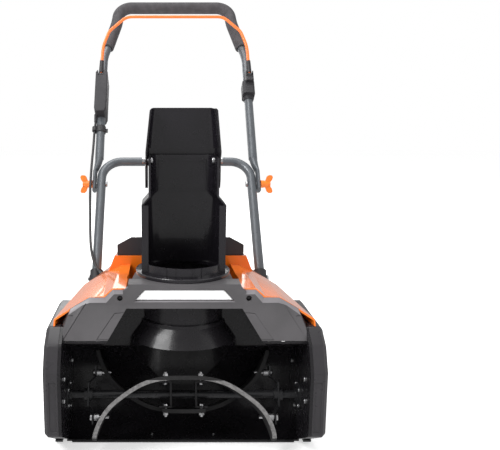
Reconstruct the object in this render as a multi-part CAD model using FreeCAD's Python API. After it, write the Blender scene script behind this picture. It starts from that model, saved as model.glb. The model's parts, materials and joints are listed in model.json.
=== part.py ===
import FreeCAD, Part
import math
import os

from FreeCAD import Vector

# Snow blower, in millimetres, +Z up, +Y towards the person pushing it.
# Everything is drawn with Y = 0 at the auger shaft, then moved by ORIGIN_SHIFT, which
# puts the origin on the floor under the middle of the machine.

# ---- driving dimensions -------------------------------------------------------------
ORIGIN_SHIFT = Vector(0, -433.4, 0)

AUGER_Z = 104            # height of the auger shaft
SCOOP_R = 98             # inside radius of the scoop
WALL = 4                 # moulded wall of the scoop and the chute
SCOOP_HALF = 239         # half of the clearing width
HOUSING_HALF = 274       # half of the overall width
MOUTH_Y = -98            # front edge of the side plates
LIP_Y, LIP_Z = -26, 304  # top edge of the sloping front panel
BROW_Y, BROW_Z = -60, 237  # bottom edge of the sloping front panel

RING_Y, RING_Z = 80, 346   # centre and height of the chute's turntable
RING_R = 100
THROAT_R = 88

ROTOR_R = 93
SHAFT_R = 8
PADDLE = 8               # rubber thickness
PADDLE_TILT = 23.6       # how far the paddles dip towards the back, in degrees

COWL_FLOOR = 264
HOOD_TOP, HOOD_REAR = 352, 325    # top of the rear hood, ahead and behind
LID_TOP, LID_REAR = 395, 352

PIVOT_Y, PIVOT_Z = 555, 478   # fold axis of the handle
LOWER_LEAN, UPPER_LEAN = 41, 36.3
TUBE_R = 12.5
LOWER_X, UPPER_X = 212, 221
UPPER_TOP = 661          # run of the upper handle from the fold axis to its cross bar

BAIL_RUN, BAIL_OFFSET = 364, 27   # bail pivot, along and in front of the upper handle
BAIL_LIFT = 12.25           # angle between the released bail and the handle, in degrees
BAIL_LENGTH = 198
BAIL_X = 225
BAIL_R = 4.5

WHEEL_Y, WHEEL_R = 330, 90
WHEEL_IN, WHEEL_OUT = 207, 250

MOTOR_Y, MOTOR_Z = 85, 236
AUGER_PULLEY_R, MOTOR_PULLEY_R = 56, 14
CABLE_R = 3.5


# ---- helpers ------------------------------------------------------------------------
def box(x0, x1, y0, y1, z0, z1):
    return Part.makeBox(x1 - x0, y1 - y0, z1 - z0, Vector(x0, y0, z0))


def rod(start, end, radius):
    a, b = Vector(*start), Vector(*end)
    return Part.makeCylinder(radius, (b - a).Length, a, b - a)


def cone(start, end, r0, r1):
    a, b = Vector(*start), Vector(*end)
    return Part.makeCone(r0, r1, (b - a).Length, a, b - a)


def polygon(points):
    corners = [Vector(*p) for p in points]
    return Part.makePolygon(corners + corners[:1])


def prism_x(outline, x0, x1):
    return Part.Face(polygon([(x0, y, z) for y, z in outline])).extrude(Vector(x1 - x0, 0, 0))


def prism_y(outline, y0, y1):
    return Part.Face(polygon([(x, y0, z) for x, z in outline])).extrude(Vector(0, y1 - y0, 0))


def loft(sections):
    return Part.makeLoft([polygon(points) for points in sections], True, True)


def round_along(shape, radius, axis):
    """Fillets every straight edge that runs along the axis."""
    direction = Vector(*axis)
    edges = [e for e in shape.Edges if e.Curve.TypeId == "Part::GeomLine"
             and abs(e.Curve.Direction.dot(direction)) > 0.999]
    return shape.makeFillet(radius, edges)


def rim_edges(shape, axis, value):
    """The edges that lie whole in the plane axis = value."""
    return [e for e in shape.Edges
            if all(abs(getattr(p, axis) - value) < 0.01 for p in e.discretize(5))]


def chamfer_rim(shape, size, axis, value):
    return shape.makeChamfer(size, rim_edges(shape, axis, value))


def round_rim(shape, radius, axis, value):
    return shape.makeFillet(radius, rim_edges(shape, axis, value))


def largest(shape):
    """The biggest solid of a shape, without the crumbs a cut can leave."""
    return max(shape.Solids, key=lambda solid: solid.Volume)


def mirrored(shape):
    return shape.mirror(Vector(0, 0, 0), Vector(1, 0, 0))


def both(shape):
    """The shape and its mirror image, as separate solids."""
    return [shape, mirrored(shape)]


def union(shapes):
    shapes = list(shapes)
    return shapes[0].fuse(shapes[1:]).removeSplitter() if len(shapes) > 1 else shapes[0]


def bent_path(points, radii):
    """Straight runs through the points, joined by tangent arcs of the given radii."""
    points = [Vector(*p) for p in points]
    edges, last = [], points[0]
    for before, corner, after, radius in zip(points, points[1:], points[2:], radii):
        back, ahead = (before - corner).normalize(), (after - corner).normalize()
        half_turn = (math.pi - back.getAngle(ahead)) / 2
        setback = radius * math.tan(half_turn)
        start, end = corner + back * setback, corner + ahead * setback
        inward = (back + ahead).normalize()
        middle = corner + inward * (radius / math.cos(half_turn) - radius)
        edges.append(Part.LineSegment(last, start).toShape())
        edges.append(Part.Arc(start, middle, end).toShape())
        last = end
    edges.append(Part.LineSegment(last, points[-1]).toShape())
    return Part.Wire(edges)


def bent_rod(points, radii, radius):
    path = bent_path(points, radii)
    start, ahead = Vector(*points[0]), Vector(*points[1]) - Vector(*points[0])
    circle = Part.Wire(Part.Circle(start, ahead, radius).toShape())
    return path.makePipeShell([circle], True, False)


def bent_tube(points, radii, outer, inner):
    return bent_rod(points, radii, outer).cut(bent_rod(points, radii, inner))


def lean(angle):
    """The unit vectors along a handle that leans back by the angle, and out of its front."""
    a = math.radians(angle)
    return Vector(0, math.sin(a), math.cos(a)), Vector(0, -math.cos(a), math.sin(a))


LOWER_ALONG, LOWER_FRONT = lean(LOWER_LEAN)
UPPER_ALONG, UPPER_FRONT = lean(UPPER_LEAN)
PIVOT = Vector(0, PIVOT_Y, PIVOT_Z)


def on_lower(x, run, offset=0):
    p = PIVOT + LOWER_ALONG * run + LOWER_FRONT * offset
    return (x, p.y, p.z)


def on_upper(x, run, offset=0):
    p = PIVOT + UPPER_ALONG * run + UPPER_FRONT * offset
    return (x, p.y, p.z)


def placed_on_upper(shape):
    """Takes a shape drawn with Z along the upper handle and -Y out of its front."""
    placed = shape.copy()
    placed.rotate(Vector(0, 0, 0), Vector(1, 0, 0), -UPPER_LEAN)
    return placed.translated(PIVOT)


def bolt(start, ahead, radius, length, head_r, head):
    """A dome-headed bolt: the head's flat face is at start, and the shank runs ahead."""
    start, ahead = Vector(*start), Vector(*ahead).normalize()
    shank = Part.makeCylinder(radius, length, start, ahead)
    top = Part.makeCylinder(head_r, head, start, ahead * -1)
    far_rim = [e for e in top.Edges if e.Curve.TypeId == "Part::GeomCircle"
               and (e.Curve.Center - start).Length > head / 2]
    return shank.fuse(top.makeFillet(head * 0.6, far_rim)).removeSplitter()


def hex_nut(start, ahead, across, height):
    start, ahead = Vector(*start), Vector(*ahead).normalize()
    side = ahead.cross(Vector(1, 0, 0))
    if side.Length < 0.5:
        side = ahead.cross(Vector(0, 1, 0))
    side = side.normalize() * (across / math.sqrt(3))
    turn = FreeCAD.Rotation(ahead, 60)
    corners = []
    for _ in range(6):
        corners.append(start + side)
        side = turn.multVec(side)
    face = Part.Face(Part.makePolygon(corners + corners[:1]))
    return face.extrude(ahead * height)


# ---- scoop and front ----------------------------------------------------------------
def scoop_profile(radius, brow, x):
    """The closed scoop section: the round back, the roof to the brow and the open mouth."""
    centre = Vector(x, 0, AUGER_Z)
    reach = Vector(x, brow[0], brow[1]) - centre
    tangent = math.atan2(reach.z, reach.y) - math.acos(radius / reach.Length)
    middle = (tangent - math.pi / 2) / 2

    def at(angle):
        return centre + Vector(0, math.cos(angle), math.sin(angle)) * radius

    bottom, top = at(-math.pi / 2), at(tangent)
    front_bottom, front_top = Vector(x, -6, bottom.z), Vector(x, brow[0], brow[1])
    return Part.Face(Part.Wire([
        Part.LineSegment(front_bottom, bottom).toShape(),
        Part.Arc(bottom, at(middle), top).toShape(),
        Part.LineSegment(top, front_top).toShape(),
        Part.LineSegment(front_top, front_bottom).toShape(),
    ]))


def scoop_solid(grow, half):
    section = scoop_profile(SCOOP_R + grow, (BROW_Y + grow / 4, BROW_Z + grow), -half)
    return section.extrude(Vector(2 * half, 0, 0))


def oval(centre_y, z, half_x, half_y):
    major, minor = max(half_x, half_y), min(half_x, half_y)
    ellipse = Part.Ellipse(Vector(0, centre_y, z), major, minor)
    if half_y > half_x:
        ellipse.rotate(FreeCAD.Placement(Vector(0, 0, 0), FreeCAD.Rotation(Vector(0, 0, 1), 90),
                                         Vector(0, centre_y, z)))
    return Part.Wire(ellipse.toShape())


def funnel(grow):
    """The throat: a round neck under the turntable that flares over the rotor."""
    neck_z, flare_z, foot_z = 256, 216, 60
    radius = THROAT_R + grow
    neck = Part.makeCylinder(radius, RING_Z - neck_z, Vector(0, RING_Y, neck_z))
    front, back = RING_Y - radius, RING_Y + radius
    flare_front, flare_back = front - 34, back - 18
    upper = Part.makeLoft([
        oval(RING_Y, neck_z, radius, radius),
        oval((flare_front + flare_back) / 2, flare_z, radius + 20,
             (flare_back - flare_front) / 2)], True, True)
    foot_front, foot_back = flare_front - 30, SCOOP_R - 6 + grow
    lower = Part.makeLoft([
        oval((flare_front + flare_back) / 2, flare_z, radius + 20,
             (flare_back - flare_front) / 2),
        oval((foot_front + foot_back) / 2, foot_z, radius + 30,
             (foot_back - foot_front) / 2)], True, True)
    return neck.fuse([upper, lower])


def throat_ledge():
    """The step where the neck meets the flare."""
    return Part.makeCone(THROAT_R + WALL + 6, THROAT_R + WALL + 4.5, 7, Vector(0, RING_Y, 249))


SIDE_OUTLINE = [(MOUTH_Y, 60), (MOUTH_Y, 190), (-74, 238), (-36, COWL_FLOOR),
                (154, COWL_FLOOR), (154, 120), (108, 30), (64, 2), (2, 2)]


def slope_y(z):
    """Where the sloping front panel's face is at a height."""
    return LIP_Y + (BROW_Y - LIP_Y) * (LIP_Z - z) / (LIP_Z - BROW_Z)


POCKET_TOP, POCKET_X, POCKET_BROW_X = 298, 115, 154
CHEEK_BACK = 40


def brow_pocket():
    """The recess in the middle of the front that shows the throat's flared foot."""
    low, depth = 196, CHEEK_BACK - 3
    widen = (POCKET_BROW_X - POCKET_X) / (POCKET_TOP - BROW_Z)
    half = POCKET_X + widen * (POCKET_TOP - low)

    def across(y_low, y_high):
        return [(-half, y_low, low), (half, y_low, low), (POCKET_X, y_high, POCKET_TOP),
                (-POCKET_X, y_high, POCKET_TOP)]

    return loft([across(slope_y(low) - 9, slope_y(POCKET_TOP) - 9), across(depth, depth)])


def make_auger_housing():
    shell = scoop_solid(WALL, SCOOP_HALF + WALL)
    plates = [prism_x(SIDE_OUTLINE, SCOOP_HALF, SCOOP_HALF + 6),
              prism_x(SIDE_OUTLINE, -SCOOP_HALF - 6, -SCOOP_HALF)]
    plates = [round_along(p, 14, (1, 0, 0)) for p in plates]
    pocket = brow_pocket()
    cheeks = loft([
        [(-191, -50, 193), (191, -50, 193), (121, -22, 302), (-121, -22, 302)],
        [(-191, CHEEK_BACK, 193), (191, CHEEK_BACK, 193), (121, CHEEK_BACK, 302), (-121, CHEEK_BACK, 302)]])
    floor = AUGER_Z - SCOOP_R
    mouth = prism_x([(-200, floor), (-6, floor), (BROW_Y, BROW_Z), (-200, BROW_Z)], -SCOOP_HALF, SCOOP_HALF)
    outer = funnel(WALL)
    inner = funnel(0)
    body = shell.fuse(plates + [cheeks])
    body = body.cut([scoop_solid(0, SCOOP_HALF), mouth])
    body = body.cut(pocket.cut(outer))
    rim = box(-200, 200, -260, 300, 0, 216)
    tube = outer.cut(scoop_solid(0, SCOOP_HALF).common(rim))
    tube = tube.cut(box(-200, 200, -300, -4, 0, 216))
    body = body.fuse([tube, throat_ledge()]).cut(inner)
    bores = rod((-260, 0, AUGER_Z), (260, 0, AUGER_Z), 19.05)
    shaft_slot = rod((-260, MOTOR_Y, MOTOR_Z), (-SCOOP_HALF + 4, MOTOR_Y, MOTOR_Z), 9)
    return body.cut([bores, shaft_slot])


def front_slope(grow):
    """The wedge behind the sloping front panel, pushed back by grow."""
    return [(slope_y(BROW_Z + 4.2) + grow, BROW_Z + 4.2), (LIP_Y + grow, LIP_Z),
            (LIP_Y + 1 + grow, 318), (LIP_Y + 4 + grow, 360), (90, 360), (90, BROW_Z + 4.2)]


LENS = ((98, 313), (79, 334))     # half width and height of the lamp's bottom and top edge


def lens_prism(grow, y0, y1, grow_back=None):
    """The lamp's trapezoid, grown by one amount at y0 and another at y1."""
    (low_x, low_z), (high_x, high_z) = LENS

    def at(y, g):
        return [(-low_x - g, y, low_z - g), (low_x + g, y, low_z - g),
                (high_x + g, y, high_z + g), (-high_x - g, y, high_z + g)]

    return loft([at(y0, grow), at(y1, grow if grow_back is None else grow_back)])


EDGE_BEVEL = 9                    # width of the bevel along the front panel's upper edge
VISOR_EDGE = [(258.6, 268), (187, 308.7), (155, 308.7), (139, 324.7), (122, 324.7)]


def raised(points, distance):
    """The front panel's upper edge, moved out by a distance, with mitred corners."""
    runs = [Vector(x1 - x0, 0, z1 - z0).normalize()
            for (x0, z0), (x1, z1) in zip(points, points[1:])]
    normals = [Vector(run.z, 0, -run.x) for run in runs]
    moved = []
    for k, (x, z) in enumerate(points):
        before, after = normals[max(k - 1, 0)], normals[min(k, len(normals) - 1)]
        shift = (before + after) * (distance / (1 + before.dot(after)))
        moved.append((x + shift.x, z + shift.z))
    return moved


def edge_bevel():
    """What is cut off the front panel's upper edge, one wedge per run."""
    wedges = []
    rims = []
    for (x, z), (high_x, high_z) in zip(VISOR_EDGE, raised(VISOR_EDGE, EDGE_BEVEL)):
        y = slope_y(min(z, LIP_Z))
        rims.append([(x, y - 0.01, z), (high_x, y - EDGE_BEVEL, high_z + 0.01),
                     (high_x, y + EDGE_BEVEL, high_z + 0.01)])
    for low, high in zip(rims, rims[1:]):
        wedges.append(loft([low, high]))
    return wedges + [mirrored(w) for w in wedges]


def panel_groove(points):
    """A thin line in the front panel's face, through (x, z) points."""
    grooves = []
    for (x0, z0), (x1, z1) in zip(points, points[1:]):
        grooves.append(prism_y([(x0, z0), (x1, z1), (x1 + 1.1, z1 - 1.1), (x0 + 1.1, z0 - 1.1)],
                               BROW_Y - 10, 20))
    return union(grooves)


def make_front_visor():
    half = [(SCOOP_HALF, BROW_Z + 4.2), (SCOOP_HALF, COWL_FLOOR), (258.6, COWL_FLOOR)]
    half += raised(VISOR_EDGE, EDGE_BEVEL) + [(112, 339), (112, RING_Z)]
    outline = half + [(-x, z) for x, z in reversed(half)]
    front = prism_x(front_slope(0), -260, 260).common(prism_y(outline, -80, -8))
    corner = loft([[(203, -60, 340), (240, -110, 230), (290, -110, 230), (290, -60, 340)],
                   [(214, 40, 340), (268, 10, 230), (290, 10, 230), (290, 40, 340)]])
    front = front.cut([corner, mirrored(corner)] + edge_bevel())
    hollow = prism_x(front_slope(4), -300, 300)
    inner_outline = [(x * 0.985, z - 20 if z < 300 else z - EDGE_BEVEL - 4) for x, z in outline]
    hollow = hollow.common(prism_y(inner_outline, -80, 60))
    back_corner = corner.translated(Vector(-4, 4, 0))
    front = front.cut(hollow.cut([back_corner, mirrored(back_corner)]))
    front = front.cut(brow_pocket())
    neck_room = Part.makeCylinder(THROAT_R + WALL + 0.1, 200, Vector(0, RING_Y, 200))
    collar = Part.makeCone(112, RING_R - 1, 24, Vector(0, RING_Y, RING_Z - 24))
    collar = collar.cut(neck_room).cut(box(-200, 200, LIP_Y + 200, 400, 0, 400))
    bridge = box(-112, 112, LIP_Y + 3, 20, 336, RING_Z)
    front = front.fuse([collar, bridge]).cut([neck_room, lens_prism(0, -60, 30)])
    front = front.cut(lens_prism(9, LIP_Y - 9, LIP_Y + 4, 0.5))
    holes = [rod((x, -60, 318), (x, LIP_Y + 8, 318), 5.5) for x in (-128, 128)]
    grooves = []
    for side in (-1, 1):
        grooves.append(panel_groove([(side * 196, LIP_Z + 4), (side * 243, BROW_Z)]))
        grooves.append(panel_groove([(side * 114, 292), (side * 139, 290), (side * 173, 244),
                                     (side * 150, 244)]))
        grooves.append(box(side * 226 - 5, side * 226 + 5, -60, -20, 284, 286.4))
    skin = prism_x([(slope_y(230) - 9, 230), (slope_y(312) - 9, 312), (slope_y(312) + 1.2, 312),
                    (slope_y(230) + 1.2, 230)], -300, 300)
    return front.cut(holes).cut([g.common(skin) for g in grooves])


def make_lamp_lens():
    return round_rim(lens_prism(-0.4, -21, -16.5), 1.5, "y", -21)


def make_lamp_board():
    board = box(-70, 70, -14.6, -13.2, 316, 331)
    leds = [box(x - 2.5, x + 2.5, -15.8, -14.5, 321, 326) for x in range(-60, 61, 24)]
    return board.fuse(leds)


def make_scraper():
    """The wear bar under the scoop's front edge."""
    bar = prism_x([(-10, 1.2), (-10, 4), (-6.2, 5.8), (26, 5.8), (26, 1.2)], -232, 232)
    return bar.cut(scoop_solid(WALL + 0.02, SCOOP_HALF + WALL)).cut(
        [rod((x, 14, -5), (x, 14, 20), 2.6) for x in SCRAPER_SCREWS])


SCRAPER_SCREWS = (-190, -65, 65, 190)


def make_side_cover():
    """The left cover: a cup over the belt, bevelled all round its outer face."""
    inner_x = -SCOOP_HALF - 6
    cup = round_along(prism_x(SIDE_OUTLINE, -HOUSING_HALF, inner_x), 14, (1, 0, 0))
    cup = chamfer_rim(cup, 7, "x", -HOUSING_HALF)
    shrunk = [(MOUTH_Y + 5, 65), (MOUTH_Y + 5, 186), (-71, 231), (-34, COWL_FLOOR - 6),
              (149, COWL_FLOOR - 6), (149, 122), (105, 35), (62, 7), (6, 7)]
    hollow = round_along(prism_x(shrunk, -HOUSING_HALF + 4, inner_x), 10, (1, 0, 0))
    cup = cup.cut(hollow)
    cup = cup.cut(box(-262, -249, MOUTH_Y - 1, MOUTH_Y + 1.5, 70, 172))
    boss = cone((-HOUSING_HALF + 2, 0, AUGER_Z), (-HOUSING_HALF + 5.5, 0, AUGER_Z), 30, 34)
    dish = cone((-HOUSING_HALF - 0.01, 0, AUGER_Z), (-HOUSING_HALF + 2, 0, AUGER_Z), 40, 36)
    return cup.cut(dish).fuse(boss.cut(dish)).removeSplitter()


def make_skid():
    """The wear shoe under a side plate."""
    shoe = prism_x([(-6, 0), (-16, 6), (-16, 9.8), (-9.5, 9.8), (0.6, 1.98), (62, 1.98), (66, 5.4),
                    (70, 5.4), (66, 0)], -266, -252)
    return shoe


# ---- rotor --------------------------------------------------------------------------
def paddle_arch():
    """The rubber's arch across the machine, from (x, height above the shaft) on one side."""
    points = [(0, 33), (42, 31.5), (80, 22), (118, 0), (150, -27), (169, -57), (181, -90)]
    line = [(-x, h) for x, h in reversed(points[1:])] + points
    curve = Part.BSplineCurve()
    curve.interpolate([Vector(x, 0, AUGER_Z + h) for x, h in line])
    return curve


def make_front_paddle():
    curve = paddle_arch()
    count = 24
    first, last = curve.FirstParameter, curve.LastParameter
    upper, lower = [], []
    for i in range(count + 1):
        at = first + (last - first) * i / count
        point = curve.value(at)
        tangent = curve.tangent(at)[0]
        normal = Vector(-tangent.z, 0, tangent.x) * (PADDLE / 2)
        upper.append(point + normal)
        lower.append(point - normal)
    top, bottom = Part.BSplineCurve(), Part.BSplineCurve()
    top.interpolate(upper)
    bottom.interpolate(lower)
    face = Part.Face(Part.Wire([
        top.toShape(), Part.LineSegment(upper[-1], lower[-1]).toShape(),
        bottom.toShape(), Part.LineSegment(lower[0], upper[0]).toShape()]))
    sheet = face.translated(Vector(0, -ROTOR_R, 0)).extrude(Vector(0, ROTOR_R + 26, 0))
    sheet = sheet.cut([box(44, 200, -12, 60, 0, 300), box(-200, -44, -12, 60, 0, 300)])
    sheet = sheet.cut([rod((x, 4, AUGER_Z), (x, 4, AUGER_Z + 60), 3.4) for x in (-37, 37)])
    sheet = sheet.common(rod((-300, 0, AUGER_Z), (300, 0, AUGER_Z), ROTOR_R))
    sheet.rotate(Vector(0, 0, AUGER_Z), Vector(1, 0, 0), -PADDLE_TILT)
    return sheet.cut([end_bolt_hole(side) for side in (-1, 1)])


def turned_rotor(shape):
    """Half a turn about the auger shaft."""
    turned = shape.copy()
    turned.rotate(Vector(0, 0, AUGER_Z), Vector(1, 0, 0), 180)
    return turned


def tilted(shape):
    placed = shape.copy()
    placed.rotate(Vector(0, 0, AUGER_Z), Vector(1, 0, 0), -PADDLE_TILT)
    return placed


END_BOLT_Y, END_BOLT_DROP = -24, -44


def end_bolt_hole(side):
    return tilted(rod((side * 120, END_BOLT_Y, AUGER_Z + END_BOLT_DROP),
                      (side * 200, END_BOLT_Y, AUGER_Z + END_BOLT_DROP), 3.4))


def make_auger_shaft():
    left, right = -266, 256
    shaft = rod((left, 0, AUGER_Z), (right, 0, AUGER_Z), SHAFT_R)
    shoulders = [rod((x, 0, AUGER_Z), (x + 5, 0, AUGER_Z), 11) for x in (-236, 231)]
    return union([shaft] + shoulders)


def make_auger_bracket():
    """Two folded plates, clamped about the shaft, that carry the rubber paddles."""
    plates = [box(x - 13, x + 13, -12, 18, AUGER_Z + 23, AUGER_Z + 26.4) for x in (-37, 37)]
    webs = [box(x - 2, x + 2, -12, 12, AUGER_Z - 24, AUGER_Z + 24) for x in (-26, 26)]
    body = union(plates + [turned_rotor(p) for p in plates] + webs)
    body = body.cut(rod((-60, 0, AUGER_Z), (60, 0, AUGER_Z), SHAFT_R))
    holes = [rod((x, 4, AUGER_Z), (x, 4, AUGER_Z + 60), 3.4) for x in (-37, 37)]
    body = body.cut(holes + [turned_rotor(h) for h in holes])
    return tilted(body)


def make_end_arm(side):
    """A cranked flat bar from one paddle's end, through the shaft, to the other's."""
    middle, foot = side * 196, side * 184
    crank = [(middle, AUGER_Z + 4), (middle, AUGER_Z - 24), (foot, AUGER_Z - 36), (foot, AUGER_Z - 58)]
    edge = [(x - 1.5, z) for x, z in crank] + [(x + 1.5, z) for x, z in reversed(crank)]
    plan = [(-13, AUGER_Z + 4), (13, AUGER_Z + 4), (13, AUGER_Z - 24), (END_BOLT_Y + 13, AUGER_Z - 40),
            (END_BOLT_Y + 13, AUGER_Z - 58), (END_BOLT_Y - 11, AUGER_Z - 58),
            (END_BOLT_Y - 11, AUGER_Z - 40), (-13, AUGER_Z - 24)]
    half = prism_y(edge, -60, 60).common(prism_x(plan, min(0, side * 230), max(0, side * 230)))
    hub = rod((middle - 9, 0, AUGER_Z), (middle + 9, 0, AUGER_Z), 13)
    body = union([hub, half, turned_rotor(half)])
    body = body.cut(rod((side * 150, 0, AUGER_Z), (side * 240, 0, AUGER_Z), SHAFT_R))
    body = tilted(body)
    hole = end_bolt_hole(side)
    return body.cut([hole, turned_rotor(hole)])


def make_paddle_bolts():
    solids = []
    for x in (-37, 37):
        centre = bolt((x, 4, AUGER_Z + 22.9), (0, 0, 1), 3.3, 22, 7, 5)
        nut = hex_nut((x, 4, AUGER_Z + 36.6), (0, 0, 1), 10, 5)
        nut = nut.cut(rod((x, 4, AUGER_Z), (x, 4, AUGER_Z + 60), 3.3))
        solids += [tilted(centre.fuse(nut).removeSplitter())]
    for side in (-1, 1):
        start = (side * 186.2, END_BOLT_Y, AUGER_Z + END_BOLT_DROP)
        shank = bolt(start, (-side, 0, 0), 3.3, 34, 7, 5)
        spacer = rod((side * 181.9, start[1], start[2]), (side * 171.5, start[1], start[2]), 7)
        solids += [tilted(shank.fuse(spacer).removeSplitter())]
    solids += [turned_rotor(s) for s in solids]
    return Part.makeCompound(solids)


def make_auger_pulley():
    x0, x1 = -266, -250
    wheel = rod((x0, 0, AUGER_Z), (x1, 0, AUGER_Z), AUGER_PULLEY_R + 3)
    groove = rod((x0 + 3, 0, AUGER_Z), (x1 - 3, 0, AUGER_Z), AUGER_PULLEY_R + 9)
    groove = groove.cut(rod((x0, 0, AUGER_Z), (x1, 0, AUGER_Z), AUGER_PULLEY_R))
    bore = rod((x0 - 1, 0, AUGER_Z), (x1 + 1, 0, AUGER_Z), SHAFT_R)
    windows = []
    for k in range(5):
        a = 2 * math.pi * k / 5
        y, z = 33 * math.cos(a), AUGER_Z + 33 * math.sin(a)
        windows.append(rod((x0 - 1, y, z), (x1 + 1, y, z), 11))
    return wheel.cut([groove, bore] + windows)


def make_bearing(side):
    x0, x1 = side * 238.4, side * 245.5
    outer = rod((x0, 0, AUGER_Z), (x1, 0, AUGER_Z), 19)
    flange = rod((side * 236.2, 0, AUGER_Z), (side * 238.8, 0, AUGER_Z), 29)
    body = outer.fuse(flange)
    bore = rod((side * 230, 0, AUGER_Z), (side * 250, 0, AUGER_Z), 11.2)
    seat = rod((side * 230, 0, AUGER_Z), (side * 250, 0, AUGER_Z), SHAFT_R + 0.05)
    washer = rod((side * 241, 0, AUGER_Z), (x1, 0, AUGER_Z), 12).cut(seat)
    return body.cut(bore).fuse(washer).removeSplitter()


# ---- drive --------------------------------------------------------------------------
def make_motor():
    can = round_rim(rod((-122, MOTOR_Y, MOTOR_Z), (-200, MOTOR_Y, MOTOR_Z), 38), 5, "x", -122)
    nose = rod((-200, MOTOR_Y, MOTOR_Z), (-228, MOTOR_Y, MOTOR_Z), 18)
    bore = rod((-196, MOTOR_Y, MOTOR_Z), (-240, MOTOR_Y, MOTOR_Z), 5.05)
    feet = box(-196, -130, MOTOR_Y + 20, MOTOR_Y + 46, MOTOR_Z - 43, MOTOR_Z - 30)
    return union([can, nose, feet]).cut(bore)


def make_motor_shaft():
    shaft = rod((-199, MOTOR_Y, MOTOR_Z), (-268, MOTOR_Y, MOTOR_Z), 5)
    return shaft


def make_motor_pulley():
    x0, x1 = -266, -250
    wheel = rod((x0, MOTOR_Y, MOTOR_Z), (x1, MOTOR_Y, MOTOR_Z), MOTOR_PULLEY_R + 2)
    groove = rod((x0 + 3, MOTOR_Y, MOTOR_Z), (x1 - 3, MOTOR_Y, MOTOR_Z), MOTOR_PULLEY_R + 9)
    groove = groove.cut(rod((x0, MOTOR_Y, MOTOR_Z), (x1, MOTOR_Y, MOTOR_Z), MOTOR_PULLEY_R))
    return wheel.cut([groove, rod((x0 - 1, MOTOR_Y, MOTOR_Z), (x1 + 1, MOTOR_Y, MOTOR_Z), 5)])


def belt_hull(grow, x0, x1):
    """Both pulleys and the band between them, grown by the given radius."""
    span_y, span_z = MOTOR_Y, MOTOR_Z - AUGER_Z
    distance = math.hypot(span_y, span_z)
    heading = math.atan2(span_z, span_y)
    open_angle = math.acos((AUGER_PULLEY_R - MOTOR_PULLEY_R) / distance)
    big, small = AUGER_PULLEY_R + grow, MOTOR_PULLEY_R + grow
    corners = []
    for sign, order in ((1, 1), (-1, -1)):
        a = heading + sign * open_angle
        pair = [(big * math.cos(a), AUGER_Z + big * math.sin(a)),
                (span_y + small * math.cos(a), MOTOR_Z + small * math.sin(a))]
        corners += pair if order > 0 else pair[::-1]
    band = prism_x(corners, x0, x1)
    return union([band, rod((x0, 0, AUGER_Z), (x1, 0, AUGER_Z), big),
                  rod((x0, MOTOR_Y, MOTOR_Z), (x1, MOTOR_Y, MOTOR_Z), small)])


def make_belt():
    return belt_hull(4.4, -262.5, -253.5).cut(belt_hull(0.4, -263, -253))


# ---- cowls, hood and tray -----------------------------------------------------------
COWL_LIFT = 12.3          # how far the cowls stand over the front panel's edge
COWL_FRONT = [(-262, COWL_FLOOR), (-262, 277)]
COWL_FRONT += [(-x, z) for x, z in raised(VISOR_EDGE, COWL_LIFT)[1:-1]]
COWL_FRONT += [(-116, VISOR_EDGE[-1][1] + COWL_LIFT), (-116, COWL_FLOOR)]
COWL_BACK = [(-226, COWL_FLOOR), (-226, 282), (-200, 298), (-168, 314), (-139, 330), (-116, 332),
             (-116, COWL_FLOOR)]
COWL_FRONT_Y, COWL_BACK_Y = -50, 205


def section(outline, y):
    return [(x, y, z) for x, z in outline]


def lowered(outline, wall):
    """The same outline, moved inside by a wall and run down past the open bottom."""
    floor = outline[0][1]
    return [(x + wall, z - wall if z > floor else z - 40) for x, z in outline[:-2]] + \
           [(x - wall * (x > -120), z - wall if z > floor else z - 40) for x, z in outline[-2:]]


def make_cowl():
    outer = loft([section(COWL_FRONT, COWL_FRONT_Y), section(COWL_BACK, COWL_BACK_Y)])
    inner = loft([section(lowered(COWL_FRONT, 3), COWL_FRONT_Y - 1),
                  section(lowered(COWL_BACK, 3), COWL_BACK_Y - 2)])
    collar = Part.makeCylinder(118, 200, Vector(0, RING_Y, 200))
    shell = outer.cut(inner).cut(collar)
    ahead = prism_x([(slope_y(200) + EDGE_BEVEL, 200), (slope_y(LIP_Z) + EDGE_BEVEL, LIP_Z),
                     (LIP_Y + EDGE_BEVEL, 400), (-200, 400), (-200, 200)], -300, 0)
    cheek_room = box(-122, -110, -60, 60, 200, 303)
    return shell.cut([ahead, cheek_room])


HOOD_FRONT = [(-225.8, COWL_FLOOR), (-225.8, 282), (-200, 298), (-168, 314), (-153, HOOD_TOP),
              (153, HOOD_TOP), (168, 314), (200, 298), (225.8, 282), (225.8, COWL_FLOOR)]
HOOD_BACK = [(-178, COWL_FLOOR), (-178, 272), (-168, 282), (-158, 300), (-150, HOOD_REAR),
             (150, HOOD_REAR), (158, 300), (168, 282), (178, 272), (178, COWL_FLOOR)]
HOOD_FRONT_Y, HOOD_BACK_Y = 205.3, 424


def make_rear_hood():
    """The rear cover, with an open bay for the battery in its top."""
    outer = loft([section(HOOD_FRONT, HOOD_FRONT_Y), section(HOOD_BACK, HOOD_BACK_Y)])

    def shrink(outline):
        return [(x - math.copysign(3.5, x), z - 3.5 if z > COWL_FLOOR else z - 40) for x, z in outline]

    inner = loft([section(shrink(HOOD_FRONT), HOOD_FRONT_Y + 4),
                  section(shrink(HOOD_BACK), HOOD_BACK_Y - 4)])
    bay = box(-BAY_X, BAY_X, BAY_Y0, BAY_Y1, COWL_FLOOR, 400)
    walls = box(-BAY_X - 3, BAY_X + 3, BAY_Y0 - 3, BAY_Y1 + 3, COWL_FLOOR + 0.3, 400).common(outer)
    return outer.cut(inner).fuse(walls).cut(bay).removeSplitter()


BAY_X, BAY_Y0, BAY_Y1 = 78, 240, 384


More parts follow.
